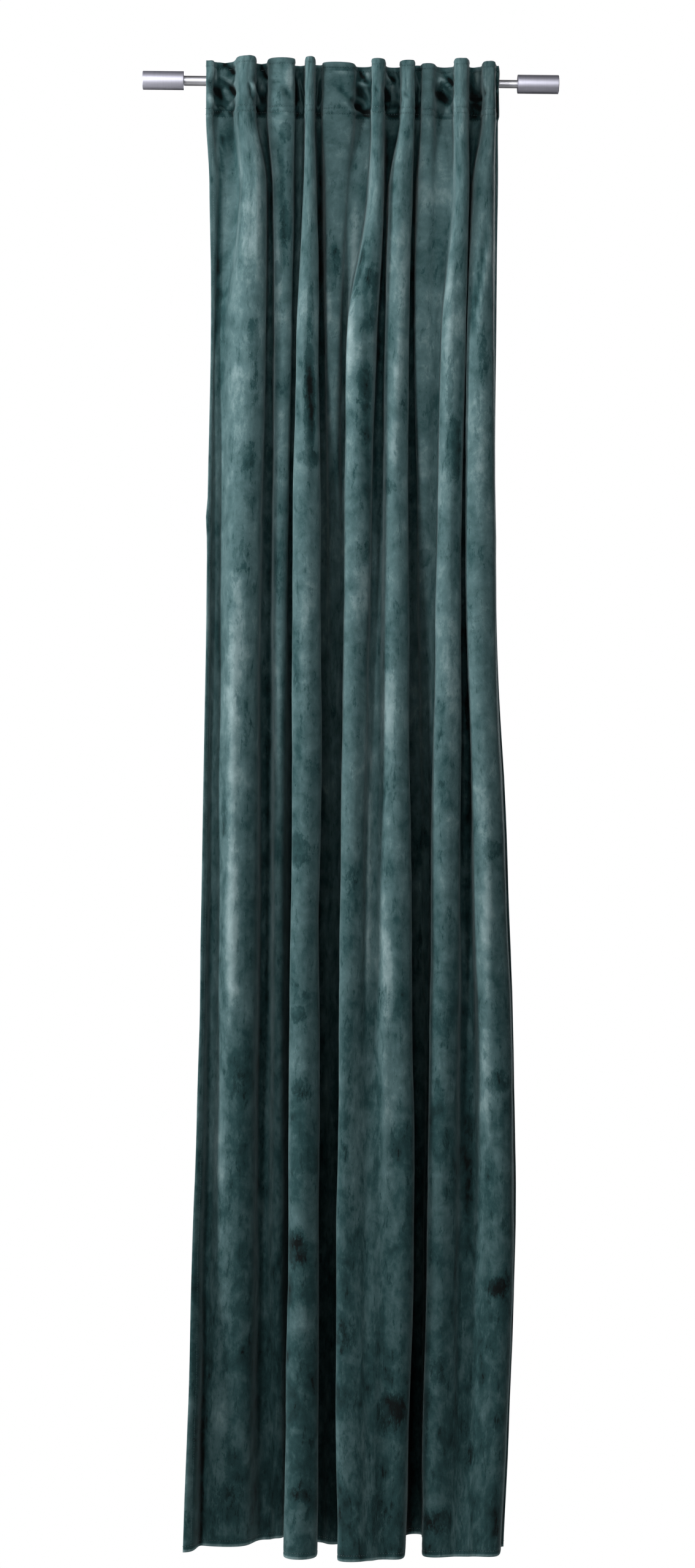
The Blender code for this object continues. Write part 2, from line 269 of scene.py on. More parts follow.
cloth = {
    "thickness": 2.0,
    "flatWidth": 1360.0,
    "flatDrop": 2420.0,  # heading turned down and hem turned up come on top of this
    "columnSpacing": 3.35,
    "headingRowSpacing": 3.0,
    "bodyRowSpacing": 32.0,
    "rowGrowth": 1.3,  # each row below the heading is this much further on, up to the body's spacing
    "besideSeam": 1.4,  # how far above and below a row of stitching a row of points lies
    "regularRowsEnd": 34.0,  # above the hem's edge
    "hemRows": (22, 16, 12, 9, 5, 2.5, 1.0, 0.3, 0),  # above the hem's edge
    "hollowDepthRange": (0.3, 1.8),  # hollows are scaled within these limits to keep the flat width
    "upperStitching": 15.0,
    "lowerStitching": (-51.0, -60.0),
    "headingTurn": -64.0,  # where the turned-down heading ends behind
    "headingFade": (-95.0, -62.0),  # from the body's forms to the heading's
    "hemDepth": 12.0,
    "hemSeam": 10.0,  # the stitching above the hem's edge
    "sideHem": 10.0,
    "sideSeam": 8.5,  # the stitching inside each side edge
    "turnedExtra": 1.7,  # what a turned edge adds behind
    "edgeNick": (-712.0, 22.0, 14.0, 2.5),  # the left edge's pinch: height, half height, reach, depth
    "rodRadius": 8.0,
    "rodGap": 1.6,
    "crown": (0.05, 0.2),  # height of a rounded front, as a share of its width, in the heading and below
    "crownDepth": 50.0,  # beside hollows shallower than this, fronts are flatter
    # rounding passes, and the heights between which they set in
    "smoothings": ((2, 25, 24), (3, -60, -200), (9, -700, -1300)),
    "headingRelief": 1.9,
    "bodyRelief": 1.6,
    "deepHollow": (18.0, 70.0),  # behind the ridges beside it: where the painted shade on a hollow's floor starts and where it is full
    "recessShade": (16.0, 42.0),  # forward of the rod: where the heading's recesses, and the painted shade in them, end
}
topEdge, hem = levels[0], levels[-1]
headingSeams = (cloth["upperStitching"], *cloth["lowerStitching"])
hemSeam = hem + cloth["hemSeam"]
segments = 2 * len(foldAcross) - 1


def evenPlaces(count):
    return [(i, k / count) for i in range(segments) for k in range(count)] + [(segments - 1, 1.0)]


def hollowDepthAt(height, folds):
    # the cloth is as wide at every height, so wider-set folds are shallower ones
    dent, firstLevel = headingLevels[2], bodyLevels[0]
    if height >= dent:
        return 1.0
    low, high = cloth["hollowDepthRange"]
    for halving in range(14):
        depth = (low + high) / 2
        line = lineThrough(bendPoints(folds, depth), evenPlaces(4))
        length = sum((b - a).length for a, b in zip(line, line[1:]))
        low, high = (depth, high) if length < cloth["flatWidth"] else (low, depth)
    below = min((dent - height) / (dent - firstLevel), 1.0)
    return 1.0 + (depth - 1.0) * below ** 2 * (3 - 2 * below)


def rowHeights():
    # close together in the heading and at the hem, wide apart between them
    heights = [topEdge - 1.2]
    step = cloth["headingRowSpacing"]
    while heights[-1] > hem + cloth["regularRowsEnd"]:
        if heights[-1] < cloth["headingTurn"] - 4:
            step = min(step * cloth["rowGrowth"], cloth["bodyRowSpacing"])
        heights.append(heights[-1] - step)
    near = cloth["besideSeam"]
    beside = [seam + gap for seam in headingSeams for gap in (near, 0.0, -near)]
    heights = [z for z in heights if all(abs(z - seam) > near + 1 for seam in headingSeams)]
    heights = [topEdge, topEdge - 0.4] + sorted(heights + beside, reverse=True)
    return heights + [hem + gap for gap in cloth["hemRows"]]


def columnPlaces():
    # as many columns between two bends as the stretch is long, with close ones at the side edges
    samples = []
    for height in (0.0, -424.0, -1365.0, -2200.0):
        folds = foldsAt(height)
        points = bendPoints(folds, hollowDepthAt(height, folds))
        samples.append([(points[i + 2] - points[i + 1]).length for i in range(segments)])
    lengths = np.mean(samples, axis=0)
    places = []
    for i, length in enumerate(lengths):
        count = max(2, round(length / cloth["columnSpacing"]))
        shares = [k / count for k in range(count)]
        if i == 0:
            shares += [0.05, 0.16]
        if i == segments - 1:
            shares += [0.84, 0.95]
        places += [(i, share) for share in sorted(shares)]
    return places + [(segments - 1, 1.0)]


# Creases that the tabs pull into the heading: from (across, height) to (across, height),
# half width, and how far they stand out (or in, below zero).
headingCreases = (
    # left recess, where the first tab gathers the cloth
    (-223, 22, -219, -12, 5, 2.5), (-213, 18, -214, -2, 3, -2.5), (-203, 22, -188, 6, 4, -4),
    (-208, 4, -185, -11, 3, 3), (-208, -6, -198, -30, 2.5, 2.5), (-201, -7, -187, -25, 5, -4),
    (-223, -11, -207, -28, 5, -4), (-216, -40, -200, -49, 4, -3), (-201, -50, -185, -34, 4, 3),
    (-226, -30, -221, -48, 4, 2),
    # second and third ridges, and the recess between them
    (-162, -20, -158, -34, 2.5, -3), (-158, -34, -148, -53, 3, -3), (-157, -20, -146, -43, 3.5, 2.5),
    (-154, -9, -148, -20, 3, -2), (-145, 21, -136, 0, 3, -3.5), (-148, -1, -141, -21, 4, 3),
    (-124, -13, -113, -13, 3, -1.5), (-109, 14, -105, 6, 3, -1.5), (-98, 11, -98, -19, 5, 1.8),
    (-106, -22, -98, -37, 4, -2), (-109, -55, -100, -67, 2, 1.5), (-89, 16, -87, -59, 3, -2),
    # the broad fifth ridge
    (-32, 12, 3, 12, 2.5, -1.5), (-27, 7, 0, 6, 2.5, 1.5), (-20, -16, -8, -30, 4, -2.2),
    (-11, -41, -2, -53, 2.5, 1.8),
    # recesses on both sides of the sixth ridge
    (11, -5, 30, -8, 3, 3), (16, 13, 26, -5, 3.5, -3.5), (23, 18, 32, 1, 3, 2),
    (4, -37, 27, -51, 5, -4), (4, -53, 16, -50, 3, 2.5), (18, -63, 26, -63, 2, -1.2),
    (37, -19, 44, -27, 3, -1.5), (54, 5, 68, -10, 2.6, 3.5), (68, -10, 71, -27, 3, 3),
    (60, 14, 71, 0, 3.5, -3), (55, -13, 59, -51, 4, -4), (66, -39, 77, -39, 5, -3),
    (86, -27, 92, -33, 3, -1.5),
    # eighth recess: an arch over the rod and a round hollow under it
    (138, -3, 147, 4, 3, 3.5), (147, 4, 165, -13, 3, 3.5), (150, 15, 165, -6, 3.5, -3),
    (139, -17, 159, -27, 8, -4), (157, -47, 168, -35, 4, 2.5),
    # last recess and the right edge
    (206, 19, 207, -14, 7, 4), (196, -24, 214, -26, 4, -4.5), (202, -31, 212, -44, 5, -3),
    (233, 24, 236, -56, 2.5, -2),
)

# Long soft creases in the body, in the same columns.
bodyCreases = (
    (222, -240, 200, -410, 5, -2.5), (228, -240, 206, -410, 5, 2.0), (-206, -70, -214, -420, 4, -2.5),
    (-150, -80, -146, -330, 6, 1.6), (-112, -90, -106, -300, 5, -1.4), (10, -210, 2, -520, 5, 1.8),
    (26, -330, 34, -700, 6, -1.6), (166, -250, 160, -560, 6, 1.4), (182, -430, 176, -800, 5, -1.4),
    (-64, -420, -54, -640, 5, -1.6), (88, -300, 76, -620, 6, 1.4), (-180, -900, -176, -1500, 8, 2.2),
    (38, -1000, 44, -1500, 7, 1.8), (70, -1300, 76, -1800, 8, 1.0), (232, -1150, 240, -1700, 8, 1.8),
    (200, -1500, 212, -1900, 9, -1.6),
)


def creaseField(across, height, creases):
    field = np.zeros_like(across)
    for x0, z0, x1, z1, halfWidth, rise in creases:
        dx, dz = x1 - x0, z1 - z0
        t = np.clip(((across - x0) * dx + (height - z0) * dz) / (dx * dx + dz * dz), 0.0, 1.0)
        distance = np.hypot(across - x0 - t * dx, height - z0 - t * dz)
        taper = 1.0 - 0.35 * np.abs(2 * t - 1) ** 3
        field += rise * taper * bell(distance, halfWidth)
    return field


def noiseField(across, height, size, seed):
    # smooth noise over the cloth; size is (across, height) of its waves
    flat = zip(across.ravel() / size[0], height.ravel() / size[1])
    values = [noise.noise(Vector((a, b, seed * 13.7))) for a, b in flat]
    return np.array(values).reshape(across.shape)


def clothGrid():
    # the cloth's middle surface: across, forward and height of every point, its place along the flat
    # cloth's width, and the crown that rounds each ridge's front and each hollow's floor
    places = columnPlaces()
    heights = rowHeights()
    across = np.empty((len(heights), len(places)))
    forward = np.empty_like(across)
    crown = np.zeros_like(across)
    for r, height in enumerate(heights):
        folds = foldsAt(height)
        line = lineThrough(bendPoints(folds, hollowDepthAt(height, folds)), places)
        across[r] = [p.x for p in line]
        forward[r] = [p.y for p in line]
        flat, full = cloth["crown"]
        fullness = flat + (full - flat) * smoothStep(-100, -500, height)
        for c, (segment, share) in enumerate(places):
            fold = segment // 2
            if segment % 2 == 0 and 0 < fold < len(folds) - 1:
                outwards = 1 if fold % 2 == 0 else -0.4
                depth = min(abs(folds[fold][2] - folds[fold + side][2]) for side in (-1, 1))
                outwards *= min(depth / cloth["crownDepth"], 1.0)
                crown[r, c] = outwards * fullness * 2 * folds[fold][1] * (1 - (2 * share - 1) ** 2)
    height = np.repeat(np.array(heights)[:, None], len(places), axis=1)
    # bends are rounder further down
    for passes, start, end in cloth["smoothings"]:
        share = smoothStep(start, end, height)[:, 1:-1]
        for k in range(passes):
            for grid in (across, forward, crown):
                middle = (grid[:, :-2] + 2 * grid[:, 1:-1] + grid[:, 2:]) / 4
                grid[:, 1:-1] += (middle - grid[:, 1:-1]) * share
    steps = np.hypot(np.diff(across, axis=1), np.diff(forward, axis=1))
    run = np.concatenate([np.zeros((len(heights), 1)), np.cumsum(steps, axis=1)], axis=1)
    run *= cloth["flatWidth"] / run[:, -1:]
    # each column of points follows one thread, so the pile's streaks keep to the folds
    run = np.repeat(run[height[:, 0] < headingLevels[-1]].mean(axis=0)[None, :], len(heights), axis=0)
    return across, forward, height, run, crown


def planNormals(across, forward):
    # unit vectors square to the cloth, seen from above, pointing to its front
    ax, ay = np.gradient(across, axis=1), np.gradient(forward, axis=1)
    size = np.hypot(ax, ay) + 1e-9
    return -ay / size, ax / size


def shapeCloth():
    across, forward, height, run, crown = clothGrid()
    nx, nf = planNormals(across, forward)
    inHeading = smoothStep(*cloth["headingFade"], height)
    inBody = 1 - inHeading
    lowness = np.clip(-height / 2400, 0, 1)
    facing = np.clip(nf, 0, 1) ** 0.5  # creases are placed from the front

    def ripples(wide, tall, seed):
        return noiseField(run, height, (wide, tall), seed)

    creases = creaseField(across, height, headingCreases) * smoothStep(-78, -66, height) * facing
    longCreases = creaseField(across, height, bodyCreases) * inBody * facing
    push = crown + creases * cloth["headingRelief"] + longCreases * cloth["bodyRelief"]
    push += ripples(40, 420, 1) * (0.9 + 1.1 * lowness) * inBody
    push += ripples(16, 160, 2) * 0.35 * inBody
    push += ripples(90, 300, 3) * (0.6 + 3.4 * lowness)
    push += ripples(10, 16, 4) * (1.3 * inHeading + 0.12)
    push += ripples(55, 48, 5) * 0.7

    # puckers that run out from the rows of stitching
    for seam in cloth["lowerStitching"]:
        push += ripples(7, 30, seam) * 1.3 * np.exp(-np.abs(height - seam) / 9)
    push += ripples(8, 20, 7) * 0.9 * np.exp(-np.abs(height - cloth["upperStitching"]) / 7)

    nickHeight, nickHalf, nickReach, nickDepth = cloth["edgeNick"]
    across = across + nx * push + ripples(60, 170, 8) * 1.5 * smoothStep(0, -300, height)
    across -= nickDepth * bell(height - nickHeight, nickHalf) * np.exp(-run / nickReach)
    forward = forward + nf * push

    # the top edge stands a little higher on the ridges
    rise = smoothStep(-12, topEdge, height) * (2.4 * forward / 70 + ripples(40, 90, 9) * 1.6)

    # the back of the turned-down heading keeps a small gap to the rod
    near = cloth["rodRadius"] + cloth["rodGap"] + cloth["thickness"] / 2 + cloth["turnedExtra"]
    room = np.sqrt(np.clip(near ** 2 - height ** 2, 0, None))
    forward = np.where(np.abs(height) < near, np.maximum(forward, room), forward)

    # how far each point lies behind the ridges within ten columns of it
    reach = 10
    padded = np.pad(forward, ((0, 0), (reach, reach)), mode="edge")
    ridges = np.max([padded[:, k:k + forward.shape[1]] for k in range(2 * reach + 1)], axis=0)
    # painted shade: the floors of hollows that lie well behind their ridges are darkened, more fully low
    # down
    deep = smoothStep(*cloth["deepHollow"], ridges - forward) * inBody
    deep *= 0.6 + 0.4 * smoothStep(-700, -1100, height)

    # painted shade: the heading's recesses are darkened, most of all below the rod
    recessShade = (1 - smoothStep(*cloth["recessShade"], forward)) * smoothStep(-62, -56, height) * facing
    recessShade *= 0.4 + 0.6 * smoothStep(18, -12, height)
    # painted light and shade: crease tops are painted paler and their troughs darker
    fields = {"creaseLightAndShade": (creases + longCreases) / 4, "recessShade": recessShade, "deep": deep}
    return across, forward, height + rise, height, run, fields


def clothSides(across, forward, height, run):
    # how far the front and the back stand off the middle surface
    half = cloth["thickness"] / 2
    front = np.full_like(across, half)
    back = np.full_like(across, half)
    extra = cloth["turnedExtra"]
    fromSide = np.minimum(run, cloth["flatWidth"] - run)
    back += extra * smoothStep(cloth["headingTurn"] - 1.5, cloth["headingTurn"] + 1.5, height)
    back += extra * smoothStep(hem + cloth["hemDepth"] + 1.5, hem + cloth["hemDepth"] - 1.0, height)
    back += 0.8 * extra * smoothStep(cloth["sideHem"] + 2.5, cloth["sideHem"] - 1.0, fromSide)

    # stitching draws the pile in, and the cloth swells beside it
    for seam in headingSeams:
        front += 0.7 * bell(height - seam, 5.5) - 1.3 * bell(height - seam, 1.7)
    front += 0.5 * bell(height - hemSeam, 6) - 0.9 * bell(height - hemSeam, 2)
    front -= 0.5 * bell(fromSide - cloth["sideSeam"], 2)
    front += 0.6 * smoothStep(cloth["upperStitching"] + 2, cloth["upperStitching"] + 5, height)

    # all four edges are round
    fromEdge = np.minimum(np.minimum(topEdge - height, height - hem), fromSide)
    roundness = np.sqrt(1 - np.clip(1 - fromEdge / 1.8, 0, 1) ** 2)
    keep = 0.25 + 0.75 * roundness
    return front * keep, back * keep


# Where the pile is pressed down (darker) or stands up (paler, and then also painted as highlights along the
# ridge fronts):
# across, height, half width, half height, strength; placed from the front.
pressedMarks = (
    (-117, -316, 6, 22, 0.9), (-60, -370, 6, 45, 0.8), (-27, -300, 9, 24, 1.0), (33, -320, 7, 20, 0.7),
    (45, -360, 5, 52, 0.9), (-57, -520, 8, 105, 1.0), (-52, -614, 20, 14, 0.9), (27, -500, 9, 36, 1.0),
    (62, -660, 20, 14, 0.75), (172, -596, 11, 55, 1.0), (124, -770, 16, 16, 0.75),
    (-222, -715, 9, 20, 1.0), (66, -940, 18, 16, 0.75), (-76, -1242, 17, 26, 1.0),
    (-196, -1190, 9, 34, 0.7), (130, -1232, 22, 20, 0.7), (241, -1240, 16, 15, 0.85),
    (-69, -1508, 11, 13, 1.0), (-67, -1630, 14, 22, 0.6), (252, -1615, 16, 20, 0.8),
    (-69, -1888, 16, 32, 0.85), (255, -1950, 18, 17, 0.85), (140, -1945, 22, 14, 0.7),
    (84, -2150, 30, 36, 0.75), (66, -2325, 40, 44, 0.7), (162, -2335, 40, 22, 0.7),
    (-184, -2310, 30, 26, 0.6), (160, -2090, 14, 26, 0.6), (-168, -1630, 16, 30, 0.5),
    (128, -1405, 8, 22, 0.8), (-150, -430, 10, 40, 0.8), (-146, -500, 7, 30, 0.6),
    (-106, -640, 8, 36, 0.5), (96, -520, 8, 40, 0.6), (160, -760, 9, 28, 0.5), (218, -450, 7, 60, 0.6),
    # the mark at (12, -320) is painted shade that dims the lit slanted edge of the sixth ridge
    (-30, -330, 7, 16, 0.8), (12, -320, 7, 60, 0.75), (-160, -610, 14, 30, 0.7), (30, -760, 14, 30, 0.6),
    (160, -500, 6, 50, 0.7), (-104, -240, 9, 34, 0.8), (-170, -780, 12, 40, 0.6), (-104, -90, 5, 18, 0.9),
    (-120, -60, 7, 12, 0.5), (-62, -2290, 14, 18, 0.6), (-20, -1010, 12, 40, 0.5),
    (206, -880, 9, 34, 0.5), (10, -1290, 16, 30, 0.5), (-156, -1050, 10, 44, 0.5),
    (66, -1480, 14, 24, 0.6), (14, -2030, 22, 30, 0.6), (214, -2230, 20, 26, 0.6),
    (190, -1770, 16, 22, 0.5),
)
# paler marks, which also paint highlights along the ridge fronts
raisedHighlightMarks = (
    (-163, -250, 12, 90, 0.4), (24, -470, 9, 70, 0.2), (-110, -1020, 8, 90, 1.0),
    (72, -1030, 9, 110, 1.0), (-180, -1380, 12, 120, 1.0), (76, -1460, 8, 60, 1.0),
    (228, -1560, 8, 60, 0.4), (-194, -1700, 12, 120, 0.9), (222, -1150, 9, 90, 0.7),
    (176, -370, 12, 60, 0.3), (-174, -900, 12, 120, 0.7), (-64, -900, 9, 120, 0.6),
    (-187, -1950, 14, 100, 0.6), (24, -1740, 16, 120, 0.5), (24, -2210, 26, 60, 0.6),
    (196, -2300, 10, 50, 0.6), (176, -1050, 14, 140, 0.5), (-62, -1980, 12, 40, 0.4),
    (24, -820, 12, 100, 0.7), (-98, -8, 7, 18, 0.7), (-78, -2365, 16, 10, 0.8),
    (-194, -2200, 14, 110, 0.8), (-84, -2260, 7, 130, 0.6), (46, -2300, 20, 60, 0.6),
    (-240, -2240, 6, 140, 0.8), (-86, -1720, 7, 120, 0.8), (-114, -330, 6, 70, 0.8),
    (-32, -330, 7, 70, 0.8), (-172, -560, 10, 90, 0.4), (6, -560, 8, 90, 0.4), (214, -620, 9, 90, 0.5),
    (122, -60, 14, 30, 0.4),
)


def paintMarks(across, height, marks):
    field = np.zeros_like(across)
    for x, z, halfWidth, halfHeight, strength in marks:
        distance = np.hypot((across - x) / halfWidth, (height - z) / halfHeight)
        field = np.maximum(field, strength * (1 - smoothStep(0.35, 1.55, distance)))
    return field


def threadAt(across, forward, height, run, x, z):
    # the place along the cloth's width of what a viewer sees at one spot
    r = int(np.argmin(np.abs(height[:, 0] - z)))
    near = np.where(np.abs(across[r] - x) < 4)[0]
    if not len(near):
        near = [int(np.argmin(np.abs(across[r] - x)))]
    return run[r, max(near, key=lambda c: forward[r, c])]


def gridFaces(rows, columns):
    faces, sides = [], []
    count = rows * columns
    for r in range(rows - 1):
        for c in range(columns - 1):
            a = r * columns + c
            faces.append((a, a + columns, a + columns + 1, a + 1))
            faces.append((count + a + 1, count + a + columns + 1, count + a + columns, count + a))
            sides += [0, 1]
    for r in range(rows - 1):
        a, b = r * columns, (r + 1) * columns
        faces.append((a, count + a, count + b, b))
        a, b = a + columns - 1, b + columns - 1
        faces.append((b, count + b, count + a, a))
        sides += [0, 0]
    for c in range(columns - 1):
        a, b = c, (rows - 1) * columns + c
        faces.append((a, a + 1, count + a + 1, count + a))
        faces.append((count + b, count + b + 1, b + 1, b))
        sides += [0, 0]
    return faces, sides


def makeCurtain():
    across, forward, height, flatHeight, run, fields = shapeCloth()
    nx, nf = planNormals(across, forward)
    front, back = clothSides(across, forward, flatHeight, run)
    frontGrid = np.stack([across + nx * front, -(forward + nf * front), height], axis=-1) * mm
    backGrid = np.stack([across - nx * back, -(forward - nf * back), height], axis=-1) * mm
    rows, columns = across.shape
    vertices = np.concatenate([frontGrid.reshape(-1, 3), backGrid.reshape(-1, 3)])
    faces, sides = gridFaces(rows, columns)
    places = [threadAt(across, forward, flatHeight, run, x, z) for x, z, *rest in pressedMarks]
    obj = newObject("velvetCurtain", vertices.tolist(), faces, [makeVelvet(places), makeVelvetBack()])
    obj.data.polygons.foreach_set("material_index", sides)
    uv = np.stack([run, flatHeight - hem], axis=-1).reshape(-1, 2) * mm
    addUv(obj, "clothUv", np.concatenate([uv, uv]))
    # painted highlights: the paler marks show only on faces turned to the front
    fields["raisedHighlight"] = paintMarks(across, flatHeight, raisedHighlightMarks) * np.clip(nf * 1.6, 0, 1)
    for name, field in fields.items():
        layer = obj.data.attributes.new(name, "FLOAT", "POINT")
        bothSides = np.concatenate([field.ravel(), field.ravel() * 0])
        layer.data.foreach_set("value", bothSides.astype(np.float32))
    print("curtain:", rows, "rows,", columns, "columns,", 2 * len(faces), "triangles")
    return obj, frontGrid, backGrid, flatHeight, run


velvetLook = {
    # noises: wave across and down, detail, roughness, slant in radians
    "noises": {
        "cloud": (64.0, 120.0, 5, 0.6, 0.0),  # soft blotches
        "mottle": (26.0, 40.0, 6, 0.61, 0.2),  # smudges inside them
        "streak": (6.0, 34.0, 3, 0.5, -0.05),  # the way the pile was stroked
        "long": (16.0, 420.0, 2, 0.5, 0.0),  # faint bands down the whole drop
        "scatter": (9.0, 40.0, 7, 0.75, 0.1),  # small pressed marks between the large ones
        "edge": (9.0, 24.0, 7, 0.78, 0.0),  # how ragged the marks are
        "gather": (24.0, 46.0, 1, 0.4, 0.7),  # small folds that the tabs pull into the recesses; their crests get bumps and painted highlights
    },
    "pile": 0.9,  # tufts are finer than this; drawn coarse enough to show
    "seamWidth": 1.7,
    "hemHighlight": (6.0, 3.0),  # painted highlight along the turned hem's edge: starts at the first height and is full at the second
    "markFade": (0.2, 1.9),  # a pressed mark is full and gone at these shares of its half size
    "ragged": 2.1,  # how strongly the edge noise tears the marks' edges
    "hemShadeHeight": 1750.0,  # above the hem, where the painted shade that darkens the cloth towards the hem ends
    "hemShadeRange": (-0.445, -0.22),
    # several of these fields paint light and shade into the colour: highlights on crease tops, crests, pale
    # marks and the hem's edge; shade in crease troughs, the heading's recesses, deep hollows and towards
    # the hem
    "toneAmounts": {
        "cloud": 0.6, "mottle": 0.58, "streak": 0.06, "long": 0.12, "pile": 0.1, "pressed": -0.22,
        "raisedHighlight": 0.22, "small": -0.14, "creaseLightAndShade": 0.58, "recessShade": -0.42, "crestsAndHighlights": 0.36, "deep": -0.85,
        "seams": -0.12, "hemHighlight": 0.42,
    },
    "tones": (
        (0.0, "#020707"), (0.12, "#0e2425"), (0.3, "#1f3a3b"), (0.6, "#455c5d"), (1.0, "#778a8a"),
    ),
    "reliefAmounts": {"streak": 0.3, "mottle": 1.8, "crestsAndHighlights": 2.0},
}


def makeVelvet(markPlaces):
    # Crushed polyester velvet: a short dense pile, matt from the front with a faint glow along turned
    # edges; where it was pressed it leans away from the light and looks darker, with a ragged edge.
    # Its colour also carries painted highlights on crease tops, crests, pale marks and the hem's edge, and
    # painted shade in crease troughs, the heading's recesses, deep hollows and towards the hem.
    material, tree, shader = newMaterial("crushedPolyesterVelvet", {
        "Sheen Weight": 0.25,
        "Sheen Roughness": 0.4,
        "Sheen Tint": linear("#bed4d5"),
        "Specular IOR Level": 0.12,
    })
    uv = addNode(tree, "ShaderNodeUVMap", {"uv_map": "clothUv"}).outputs["UV"]
    height = addNode(tree, "ShaderNodeSeparateXYZ", None, {"Vector": uv}).outputs["Y"]
    fields = {}
    for seed, (name, noiseLook) in enumerate(velvetLook["noises"].items()):
        across, down, detail, roughness, slant = noiseLook
        place = addNode(tree, "ShaderNodeMapping", None, {
            "Vector": uv,
            "Rotation": (0, 0, slant),
            "Location": (seed * 3.1, seed * 1.7, 0),
            "Scale": (perMetre(across), perMetre(down), 1),
        })
        fields[name] = addNode(tree, "ShaderNodeTexNoise", {"noise_dimensions": "2D"}, {
            "Vector": place.outputs["Vector"], "Scale": 1.0, "Detail": detail, "Roughness": roughness,
            "Distortion": 0.25,
        }).outputs["Fac"]
    fields["pile"] = addNode(tree, "ShaderNodeTexNoise", {"noise_dimensions": "2D"}, {
        "Vector": uv, "Scale": perMetre(velvetLook["pile"]), "Detail": 3, "Roughness": 0.6,
    }).outputs["Fac"]
    # attributes that carry painted highlights and painted shade worked out from the cloth's shape
    for name in ("raisedHighlight", "creaseLightAndShade", "recessShade", "deep"):
        fields[name] = addNode(tree, "ShaderNodeAttribute", {"attribute_name": name}).outputs["Fac"]

    # each pressed mark is an ellipse that fades outwards
    fields["pressed"] = 0.0
    full, gone = velvetLook["markFade"]
    for place, (x, z, halfWidth, halfHeight, strength) in zip(markPlaces, pressedMarks):
        offset = addNode(tree, "ShaderNodeVectorMath", {"operation": "SUBTRACT"}, {
            0: uv, 1: (place * mm, (z - hem) * mm, 0),
        })
        scaled = addNode(tree, "ShaderNodeVectorMath", {"operation": "MULTIPLY"}, {
            0: offset.outputs["Vector"], 1: (perMetre(halfWidth), perMetre(halfHeight), 1),
        })
        distance = addNode(tree, "ShaderNodeVectorMath", {"operation": "LENGTH"}, {
            0: scaled.outputs["Vector"],
        })
        fading = addNode(tree, "ShaderNodeMapRange", {"interpolation_type": "SMOOTHSTEP"}, {
            "Value": distance.outputs["Value"], "From Min": full, "From Max": gone,
            "To Min": strength, "To Max": 0.0,
        })
        fields["pressed"] = addNode(tree, "ShaderNodeMath", {"operation": "MAXIMUM"}, {
            0: fading.outputs["Result"], 1: fields["pressed"],
        }).outputs[0]

    # the marks' edges are ragged; in the recesses a noise folded at its middle makes soft bent crests, with
    # bumps and painted highlights on them
    for name in ("pressed", "raisedHighlight"):
        fields[name] = addNode(tree, "ShaderNodeMath", {"operation": "MULTIPLY_ADD"}, {
            0: fields["edge"], 1: velvetLook["ragged"], 2: fields[name],
        }).outputs[0]
    folded = addNode(tree, "ShaderNodeMath", {"operation": "PINGPONG"}, {0: fields["gather"], 1: 0.5})
    for name, value, start, end in (
        ("pressed", fields["pressed"], 1.41, 1.69),
        ("raisedHighlight", fields["raisedHighlight"], 0.9, 1.9),
        ("small", fields["scatter"], 0.58, 0.64),
        ("crestsAndHighlights", folded.outputs[0], 0.38, 0.49),
        # painted highlight along the hem's edge
        ("hemHighlight", height, velvetLook["hemHighlight"][0] * mm, velvetLook["hemHighlight"][1] * mm),
    ):
        fields[name] = addNode(tree, "ShaderNodeMapRange", {"interpolation_type": "SMOOTHSTEP"}, {
            "Value": value, "From Min": start, "From Max": end,
        }).outputs["Result"]
    fields["crestsAndHighlights"] = addNode(tree, "ShaderNodeMath", {"operation": "MULTIPLY"}, {
        0: fields["crestsAndHighlights"], 1: fields["recessShade"],
    }).outputs[0]

    # a row of stitching draws the pile in, which leaves a dark line
    fields["seams"] = 0.0
    for seam in (*headingSeams, hemSeam):
        near = addNode(tree, "ShaderNodeMath", {"operation": "COMPARE"}, {
            0: height, 1: (seam - hem) * mm, 2: velvetLook["seamWidth"] / 2 * mm,
        })
        fields["seams"] = addNode(tree, "ShaderNodeMath", {"operation": "ADD"}, {
            0: near.outputs[0], 1: fields["seams"],
        }).outputs[0]

    # painted shade: the cloth's colour darkens from the heading down to the hem, standing in for the
    # lights' falloff down the drop
    lowTone, highTone = velvetLook["hemShadeRange"]
    tone = addNode(tree, "ShaderNodeMapRange", {"interpolation_type": "SMOOTHSTEP"}, {
        "Value": height, "From Min": 0.0, "From Max": velvetLook["hemShadeHeight"] * mm,
        "To Min": lowTone, "To Max": highTone,
    }).outputs["Result"]
    sums = {"tone": tone, "relief": fields["pile"]}
    for total, amounts in (("tone", velvetLook["toneAmounts"]), ("relief", velvetLook["reliefAmounts"])):
        for name, amount in amounts.items():
            sums[total] = addNode(tree, "ShaderNodeMath", {"operation": "MULTIPLY_ADD"}, {
                0: fields[name], 1: amount, 2: sums[total],
            }).outputs[0]
    rough = {"Value": fields["mottle"], "To Min": 0.98, "To Max": 0.72}
    finishSurface(tree, shader, sums["tone"], velvetLook["tones"], rough, (sums["relief"], 0.6, 0.8))
    return material


backLook = {
    "threadSpacing": 1.1,  # real threads are about 0.35 mm; drawn coarser so that they show
    "shadeSize": 70.0,
    "tones": ((0.25, "#243c3d"), (0.9, "#46605f")),
}


